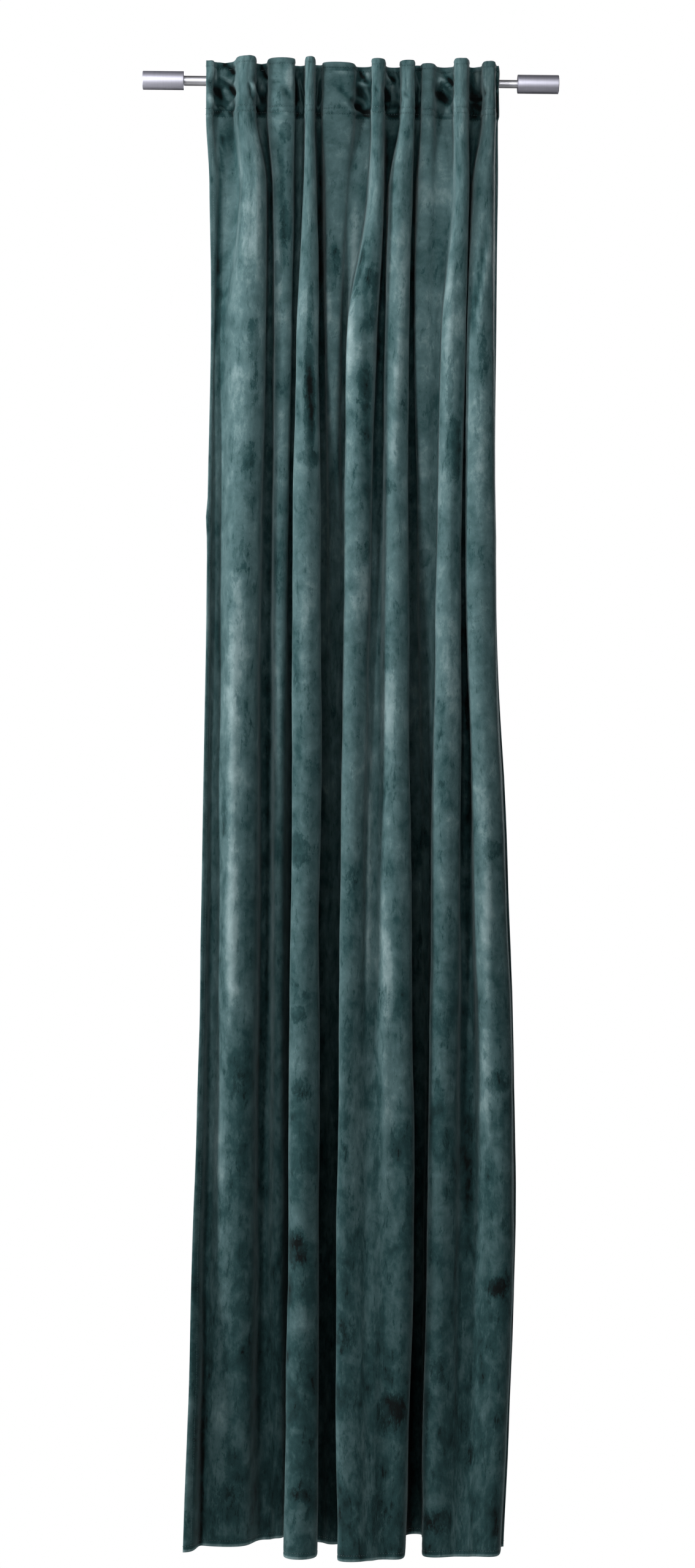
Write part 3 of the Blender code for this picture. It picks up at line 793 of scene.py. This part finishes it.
def makeVelvetBack():
    # The wrong side of the velvet: a plain woven ground, flat and dull, with a faint grid of threads.
    material, tree, shader = newMaterial("wovenVelvetGround", {
        "Sheen Weight": 0.15,
        "Sheen Roughness": 0.6,
        "Specular IOR Level": 0.2,
    })
    uv = addNode(tree, "ShaderNodeUVMap", {"uv_map": "clothUv"}).outputs["UV"]
    warp, weft = [
        addNode(tree, "ShaderNodeTexWave", {"bands_direction": direction}, {
            "Vector": uv, "Scale": waveScale(backLook["threadSpacing"]), "Distortion": 0.6, "Detail": 1,
        }).outputs["Fac"]
        for direction in ("X", "Y")
    ]
    weave = addNode(tree, "ShaderNodeMath", {"operation": "MULTIPLY"}, {0: warp, 1: weft}).outputs[0]
    shade = addNode(tree, "ShaderNodeTexNoise", {"noise_dimensions": "2D"}, {
        "Vector": uv, "Scale": perMetre(backLook["shadeSize"]), "Detail": 5, "Roughness": 0.6,
    }).outputs["Fac"]
    tone = addNode(tree, "ShaderNodeMath", {"operation": "MULTIPLY_ADD"}, {0: weave, 1: 0.35, 2: shade})
    rough = {"Value": shade, "To Min": 0.95, "To Max": 0.78}
    finishSurface(tree, shader, tone.outputs[0], backLook["tones"], rough, (weave, 0.5, 0.3))
    return material


# Stitching

stitching = {
    "pitch": 4.2,
    "length": 3.1,
    "thread": 0.75,
    "twist": 1.0,
    "lift": 0.1,
    "unevenness": (0.82, 1.12),  # shares of a stitch's size
    "tilt": 0.07,  # in radians, at most
    "seed": 11,
    "tones": ((0.0, "#203637"), (1.0, "#4b6a6c")),
}


def makeThread():
    # Polyester sewing thread: twisted and slightly shiny, a little deeper in colour than the pile.
    material, tree, shader = newMaterial("polyesterThread", {
        "Sheen Weight": 0.2,
        "Specular IOR Level": 0.4,
    })
    coordinates = addNode(tree, "ShaderNodeTexCoord")
    twist = addNode(tree, "ShaderNodeTexWave", {"bands_direction": "DIAGONAL"}, {
        "Vector": coordinates.outputs["Object"], "Scale": waveScale(stitching["twist"]), "Distortion": 0.4,
    }).outputs["Fac"]
    finishSurface(tree, shader, twist, stitching["tones"], {"Value": twist, "To Min": 0.7, "To Max": 0.5})
    return material


def stitchTree(material):
    tree = bpy.data.node_groups.new("runningStitch", "GeometryNodeTree")
    sockets = {}
    for name, kind, value in (
        ("Lines", "NodeSocketGeometry", None), ("Pitch", "NodeSocketFloat", 0.004),
        ("Stitch Length", "NodeSocketFloat", 0.003), ("Thread", "NodeSocketFloat", 0.0007),
        ("Seed", "NodeSocketInt", 0),
    ):
        socket = tree.interface.new_socket(name, in_out="INPUT", socket_type=kind)
        if value is not None:
            socket.default_value = value
        sockets[name] = socket.identifier
    tree.interface.new_socket("Stitches", in_out="OUTPUT", socket_type="NodeSocketGeometry")
    source = addNode(tree, "NodeGroupInput").outputs
    curve = addNode(tree, "GeometryNodeMeshToCurve", None, {"Mesh": source["Lines"]})
    points = addNode(tree, "GeometryNodeCurveToPoints", {"mode": "LENGTH"}, {
        "Curve": curve.outputs["Curve"], "Length": source["Pitch"],
    })
    bead = addNode(tree, "GeometryNodeMeshUVSphere", None, {"Segments": 6, "Rings": 5, "Radius": 0.5})
    size = addNode(tree, "ShaderNodeCombineXYZ", None, {
        "X": source["Thread"], "Y": source["Thread"], "Z": source["Stitch Length"],
    })
    stitch = addNode(tree, "GeometryNodeTransform", None, {
        "Geometry": bead.outputs["Mesh"], "Scale": size.outputs["Vector"],
    })
    uneven = addNode(tree, "FunctionNodeRandomValue", {"data_type": "FLOAT"}, {
        2: stitching["unevenness"][0], 3: stitching["unevenness"][1], "Seed": source["Seed"],
    })
    most = stitching["tilt"]
    tilt = addNode(tree, "FunctionNodeRandomValue", {"data_type": "FLOAT_VECTOR"}, {
        0: (-most, -most, 0.0), 1: (most, most, 0.0), "Seed": source["Seed"],
    })
    turned = addNode(tree, "FunctionNodeRotateRotation", {"rotation_space": "LOCAL"}, {
        "Rotation": points.outputs["Rotation"], "Rotate By": tilt.outputs["Value"],
    })
    copies = addNode(tree, "GeometryNodeInstanceOnPoints", None, {
        "Points": points.outputs["Points"],
        "Instance": stitch.outputs["Geometry"],
        "Rotation": turned.outputs["Rotation"],
        "Scale": uneven.outputs[1],
    })
    real = addNode(tree, "GeometryNodeRealizeInstances", None, {"Geometry": copies.outputs["Instances"]})
    smooth = addNode(tree, "GeometryNodeSetShadeSmooth", None, {"Geometry": real.outputs["Geometry"]})
    finished = addNode(tree, "GeometryNodeSetMaterial", None, {
        "Geometry": smooth.outputs["Geometry"], "Material": material,
    })
    addNode(tree, "NodeGroupOutput", None, {"Stitches": finished.outputs["Geometry"]})
    return tree, sockets


def rowLine(grid, heights, at):
    # the line across a grid of points at one height, read between its two nearest rows
    column = heights[:, 0]
    r = int(np.searchsorted(-column, -at)) - 1
    t = (column[r] - at) / (column[r] - column[r + 1])
    return grid[r] * (1 - t) + grid[r + 1] * t


def sideLine(grid, run, at):
    # the line down a grid at one distance from its left edge
    line = []
    for r in range(grid.shape[0]):
        line.append([np.interp(at, run[r], grid[r, :, k]) for k in range(3)])
    return np.array(line)


def makeStitching(material, frontGrid, heights, run):
    lines = [rowLine(frontGrid, heights, z) for z in (*headingSeams, hemSeam)]
    # the rows down the side hems stop short of the top edge and of the hem
    for at in (cloth["sideSeam"], cloth["flatWidth"] - cloth["sideSeam"]):
        lines.append(sideLine(frontGrid, run, at)[2:-3])
    vertices, edges = [], []
    for line in lines:
        first = len(vertices)
        vertices += [Vector(p) + Vector((0, -stitching["lift"] * mm, 0)) for p in line]
        edges += [(first + i, first + i + 1) for i in range(len(line) - 1)]
    mesh = bpy.data.meshes.new("stitchLines")
    mesh.from_pydata(vertices, edges, [])
    guide = bpy.data.objects.new("stitchLines", mesh)
    bpy.context.scene.collection.objects.link(guide)
    tree, sockets = stitchTree(material)
    modifier = guide.modifiers.new("stitches", "NODES")
    modifier.node_group = tree
    modifier[sockets["Pitch"]] = stitching["pitch"] * mm
    modifier[sockets["Stitch Length"]] = stitching["length"] * mm
    modifier[sockets["Thread"]] = stitching["thread"] * mm
    modifier[sockets["Seed"]] = stitching["seed"]
    evaluated = guide.evaluated_get(bpy.context.evaluated_depsgraph_get())
    stitches = bpy.data.objects.new("topstitching", bpy.data.meshes.new_from_object(evaluated))
    bpy.context.scene.collection.objects.link(stitches)
    bpy.data.objects.remove(guide, do_unlink=True)
    print("stitching:", len(stitches.data.polygons), "faces")
    return stitches


# Tabs behind the heading

tabs = {
    "width": 18.0,
    "thickness": 1.2,
    "gap": 0.4,
    "upperSeam": 14.0,
    "lowerSeam": -52.0,
    "clearance": 2.4,
    "samples": 8,
    "edge": 0.5,  # rounding of the strip's sides
    "ribs": 1.6,  # spacing of the woven ribs
    "tones": ((0.0, "#1c3132"), (1.0, "#33504f")),
}


def makeTape():
    # Cotton tape in a rib weave: matt, with fine ribs along its length.
    material, tree, shader = newMaterial("ribbedCottonTape", {
        "Sheen Weight": 0.2,
        "Specular IOR Level": 0.25,
    })
    coordinates = addNode(tree, "ShaderNodeTexCoord")
    ribs = addNode(tree, "ShaderNodeTexWave", {"bands_direction": "X"}, {
        "Vector": coordinates.outputs["Object"], "Scale": waveScale(tabs["ribs"]), "Distortion": 0.3,
    }).outputs["Fac"]
    rough = {"Value": ribs, "To Min": 0.95, "To Max": 0.8}
    finishSurface(tree, shader, ribs, tabs["tones"], rough, (ribs, 0.6, 0.3))
    return material


def makeTabs(material, backGrid, heights):
    vertices, faces = [], []
    for name in [n for n in foldAcross if n.startswith("hollow")]:
        middle = foldAcross[name][0]
        ends = []
        for seam in (tabs["upperSeam"], tabs["lowerSeam"]):
            line = rowLine(backGrid, heights, seam) / mm
            near = line[np.abs(line[:, 0] - middle) < tabs["width"] / 2 + 2]
            ends.append(-near[:, 1].max() - tabs["gap"] - tabs["thickness"] / 2)
        reach = rod["outerDiameter"] / 2 if middle < rod["outerEnd"] else rod["innerDiameter"] / 2
        reach += tabs["clearance"]
        # over the rod, down behind it and back to the cloth, as shares of the reach
        route = [
            (ends[0], tabs["upperSeam"]), (0.0, 1.15 * reach), (-0.64 * reach, 0.86 * reach),
            (-reach, 0.25 * reach), (-reach, -0.6 * reach), (ends[1], tabs["lowerSeam"]),
        ]
        points = [Vector(p) for p in route]
        points = [points[0] * 2 - points[1]] + points + [points[-1] * 2 - points[-2]]
        places = [(i, k / tabs["samples"]) for i in range(len(route) - 1) for k in range(tabs["samples"])]
        line = lineThrough(points, places + [(len(route) - 2, 1.0)])
        first = len(vertices)
        # a cross-section with rounded sides: (along the width, through the thickness)
        half, thick, flat = tabs["width"] / 2, tabs["thickness"] / 2, tabs["width"] / 2 - tabs["edge"]
        section = (
            (-half, 0.0), (-flat, thick), (0.0, thick), (flat, thick),
            (half, 0.0), (flat, -thick), (0.0, -thick), (-flat, -thick),
        )
        for i, point in enumerate(line):
            along = (line[min(i + 1, len(line) - 1)] - line[max(i - 1, 0)]).normalized()
            for wide, deep in section:
                spot = point + Vector((along.y, -along.x)) * deep
                vertices.append(Vector((middle + wide, -spot.x, spot.y)) * mm)
        n = len(section)
        for i in range(len(line) - 1):
            for k in range(n):
                a, b = first + i * n + k, first + i * n + (k + 1) % n
                faces.append((a, b, b + n, a + n))
        last = first + (len(line) - 1) * n
        faces.append(tuple(first + k for k in reversed(range(n))))
        faces.append(tuple(last + k for k in range(n)))
    obj = newObject("tabStrips", vertices, faces, [material])
    obj.data.set_sharp_from_angle(angle=math.radians(50))
    print("tabs:", len(faces), "faces")
    return obj


# Rod and finials

rod = {
    "halfSpan": 337.0,
    "outerDiameter": 16.0,
    "innerDiameter": 13.0,
    "wall": 0.8,
    "outerEnd": 80.0,
    "innerStart": -60.0,
    "tubeEnd": 298.0,
    "tubeEdge": 0.3,
    "sides": 96,
    "finialLength": 67.0,
    "finialDiameter": 30.0,
    "finialRound": 1.2,
    "socketDepth": 30.0,
    "socketGap": 0.3,
    "socketChamfer": 0.5,
    # grain, along the rod and around it; real marks are about 0.1 mm apart, drawn coarser so that they show
    "drawnGrain": (60.0, 1.2),
    "turnedGrain": (0.8, 30.0),
    "wear": 25.0,
    "steelTones": ("#bdbcbf", "#d3d2d6"),
    "aluminiumTones": ("#b2b1bb", "#bfbec8"),
}


def turnedPiece(name, profile, material):
    # a closed profile of (along, radius) turned about the rod; a radius of 0 closes it at a pole
    sides = rod["sides"]
    vertices, rings = [], []
    for along, radius in profile:
        count = sides if radius > 0 else 1
        rings.append(range(len(vertices), len(vertices) + count))
        for k in range(count):
            angle = 2 * math.pi * k / sides
            vertices.append(Vector((along, radius * math.cos(angle), radius * math.sin(angle))) * mm)
    faces = []
    for this, following in zip(rings, rings[1:] + rings[:1]):
        for k in range(sides):
            j = (k + 1) % sides
            corners = [this[k % len(this)], this[j % len(this)], following[j % len(following)]]
            corners = list(dict.fromkeys(corners + [following[k % len(following)]]))
            if len(corners) > 2:
                faces.append(corners)
    obj = newObject(name, vertices, faces, [material])
    volume = 0.0
    for face in faces:
        a, b, c = (vertices[i] for i in face[:3])
        volume += a.dot(b.cross(c))
    if volume < 0:
        obj.data.flip_normals()
    obj.data.set_sharp_from_angle(angle=math.radians(35))
    return obj


def roundCorner(along, radius, inward, size, steps=5):
    # an outer corner of a profile, from the end face round to the side; inward is +1 or -1 along the rod
    turns = [math.pi / 2 * k / steps for k in range(steps + 1)]
    return [(along + inward * size * (1 - math.cos(a)), radius - size * (1 - math.sin(a))) for a in turns]


def makeTubes(material):
    made = []
    for name, start, end, diameter in (
        ("outerTube", -rod["tubeEnd"], rod["outerEnd"], rod["outerDiameter"]),
        ("innerTube", rod["innerStart"], rod["tubeEnd"], rod["innerDiameter"]),
    ):
        outside, inside, edge = diameter / 2, diameter / 2 - rod["wall"], rod["tubeEdge"]
        profile = [
            (start, inside), (start, outside - edge), (start + edge, outside),
            (end - edge, outside), (end, outside - edge), (end, inside),
        ]
        made.append(turnedPiece(name, profile, material))
    return made


def makeFinials(material):
    made = []
    for name, side, tube in (
        ("finialLeft", -1, rod["outerDiameter"]),
        ("finialRight", 1, rod["innerDiameter"]),
    ):
        outside = rod["finialDiameter"] / 2
        bore = tube / 2 + rod["socketGap"]
        bevel = rod["socketChamfer"]
        inner = side * (rod["halfSpan"] - rod["finialLength"])
        outer = side * rod["halfSpan"]
        floor = inner + side * rod["socketDepth"]
        profile = [(floor, 0), (floor, bore), (inner + side * bevel, bore), (inner, bore + bevel)]
        profile += roundCorner(inner, outside, side, rod["finialRound"])
        profile += reversed(roundCorner(outer, outside, -side, rod["finialRound"]))
        profile += [(outer, 0)]
        made.append(turnedPiece(name, profile, material))
    return made


def makeMetal(name, colours, roughness, size):
    # size is the grain's (along the rod, around it); the long way of the grain is the way it was worked
    material, tree, shader = newMaterial(name, {"Metallic": 1.0})
    coordinates = addNode(tree, "ShaderNodeTexCoord").outputs["Object"]
    place = addNode(tree, "ShaderNodeMapping", None, {
        "Vector": coordinates, "Scale": (perMetre(size[0]), perMetre(size[1]), perMetre(size[1])),
    })
    grain, wear = [
        addNode(tree, "ShaderNodeTexNoise", None, {
            "Vector": vector, "Scale": scale, "Detail": 4, "Roughness": 0.6,
        }).outputs["Fac"]
        for vector, scale in ((place.outputs["Vector"], 1.0), (coordinates, perMetre(rod["wear"])))
    ]
    mixed = addNode(tree, "ShaderNodeMath", {"operation": "MULTIPLY_ADD"}, {0: wear, 1: 0.5, 2: grain})
    tone = mixed.outputs[0]
    rough = {
        "Value": tone, "From Min": 0.4, "From Max": 1.1, "To Min": roughness[0], "To Max": roughness[1],
    }
    tones = ((0.4, colours[0]), (1.0, colours[1]))
    finishSurface(tree, shader, tone, tones, rough, (grain, 0.05, 0.1))
    return material


# Studio

studio = {
    # metres, and degrees for the roll
    "cameraPlace": (0.0066, -4.8, -1.0),
    "aimBelow": 0.138,  # how far below the camera it looks at the curtain
    "cameraRoll": 0.6,
    "lens": 67.53,
    "ambient": 0.012,
    "floorHeight": -2.6,
    "floorMottle": 160.0,  # in mm
    # name, place, aimed at, width and height, watts, spread in degrees
    "lights": (
        ("softboxFront", (-0.2, -4.3, 1.0), (0, 0, 0.1), (1.4, 0.8), 6.5, 50),
        ("softboxSide", (-3.5, -1.05, -0.3), (0, 0, -1.0), (0.6, 2.0), 165, 160),
        ("softboxLeft", (-1.8, -3.4, 0.6), (0, 0, -0.4), (0.5, 1.0), 76, 160),
        ("softboxRight", (1.7, -3.4, 0.5), (0, 0, -0.4), (0.5, 1.0), 26, 160),
        ("softboxBehind", (1.8, 4.2, 0.3), (0, 0, -0.8), (0.6, 1.8), 110, 160),
    ),
}


def areaLight(name, place, target, size, power, spread):
    data = bpy.data.lights.new(name, "AREA")
    data.shape = "RECTANGLE"
    data.size, data.size_y = size
    data.energy = power
    data.spread = math.radians(spread)
    data.color = linear("#fbfcff")[:3]
    light = bpy.data.objects.new(name, data)
    light.location = place
    light.rotation_euler = (Vector(target) - Vector(place)).to_track_quat("-Z", "Y").to_euler()
    bpy.context.scene.collection.objects.link(light)


def makeStudio():
    scene = bpy.context.scene
    scene.view_settings.view_transform = "Standard"
    world = bpy.data.worlds.new("whiteStudio")
    world.use_nodes = True
    scene.world = world
    tree = world.node_tree
    tree.nodes.clear()
    path = addNode(tree, "ShaderNodeLightPath")
    seen = addNode(tree, "ShaderNodeBackground", None, {"Color": (1, 1, 1, 1), "Strength": 1.0})
    ambient = addNode(tree, "ShaderNodeBackground", None, {
        "Color": linear("#f4f6ff"), "Strength": studio["ambient"],
    })
    mix = addNode(tree, "ShaderNodeMixShader", None, {
        0: path.outputs["Is Camera Ray"], 1: ambient.outputs[0], 2: seen.outputs[0],
    })
    addNode(tree, "ShaderNodeOutputWorld", None, {"Surface": mix.outputs[0]})

    for light in studio["lights"]:
        areaLight(*light)

    data = bpy.data.cameras.new("camera")
    data.lens = studio["lens"]
    data.sensor_width = 36
    camera = bpy.data.objects.new("camera", data)
    camera.location = studio["cameraPlace"]
    camera.rotation_mode = "QUATERNION"
    down = math.atan(studio["aimBelow"] / -studio["cameraPlace"][1])
    tilt = Quaternion((1, 0, 0), math.pi / 2 - down)
    camera.rotation_quaternion = tilt @ Quaternion((0, 0, 1), math.radians(studio["cameraRoll"]))
    scene.collection.objects.link(camera)
    scene.camera = camera


def makeFloor():
    # Matt pale paint with the faintest mottle, well below the hem.
    material, tree, shader = newMaterial("mattFloorPaint", {"Specular IOR Level": 0.2})
    coordinates = addNode(tree, "ShaderNodeTexCoord")
    mottle = addNode(tree, "ShaderNodeTexNoise", None, {
        "Vector": coordinates.outputs["Object"], "Scale": perMetre(studio["floorMottle"]), "Detail": 4,
    }).outputs["Fac"]
    rough = {"Value": mottle, "To Min": 0.9, "To Max": 0.8}
    finishSurface(tree, shader, mottle, ((0.0, "#e6e6e4"), (1.0, "#f1f1ef")), rough)
    low = studio["floorHeight"]
    corners = [(-1.4, -1.4, low), (1.4, -1.4, low), (1.4, 0.5, low), (-1.4, 0.5, low)]
    floor = newObject("floor", corners, [(0, 1, 2, 3)], [material], smooth=False)


makeStudio()
makeFloor()
print("studio ready")

curtain, frontGrid, backGrid, flatHeight, run = makeCurtain()
stitches = makeStitching(makeThread(), frontGrid, flatHeight, run)
strips = makeTabs(makeTape(), backGrid, flatHeight)

# Brushed steel tube: drawn lengthwise, so its highlight is a clean bright line along it.
steel = makeMetal("brushedSteel", rod["steelTones"], (0.5, 0.56), rod["drawnGrain"])
# Satin anodised aluminium: turned, bead-blasted and dyed a cool grey, so the highlight is broad and soft.
satin = (0.57, 0.61)
aluminium = makeMetal("satinAnodisedAluminium", rod["aluminiumTones"], satin, rod["turnedGrain"])
outerTube, innerTube = makeTubes(steel)
finialLeft, finialRight = makeFinials(aluminium)
print("rod and finials ready")

for piece, slotName, nodes in (
    (curtain, "velvet", ["curtain"]),
    (stitches, "velvet", []),
    (strips, "tab_cloth", ["tab_%d" % number for number in range(1, 10)]),
    (outerTube, "rod_steel", ["rod_outer_tube"]),
    (innerTube, "rod_steel", ["rod_inner_tube"]),
    (finialLeft, "finial_aluminium", ["finial_left"]),
    (finialRight, "finial_aluminium", ["finial_right"]),
):
    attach(piece, "root")
    if nodes:
        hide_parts(*nodes)

print("pieces placed")
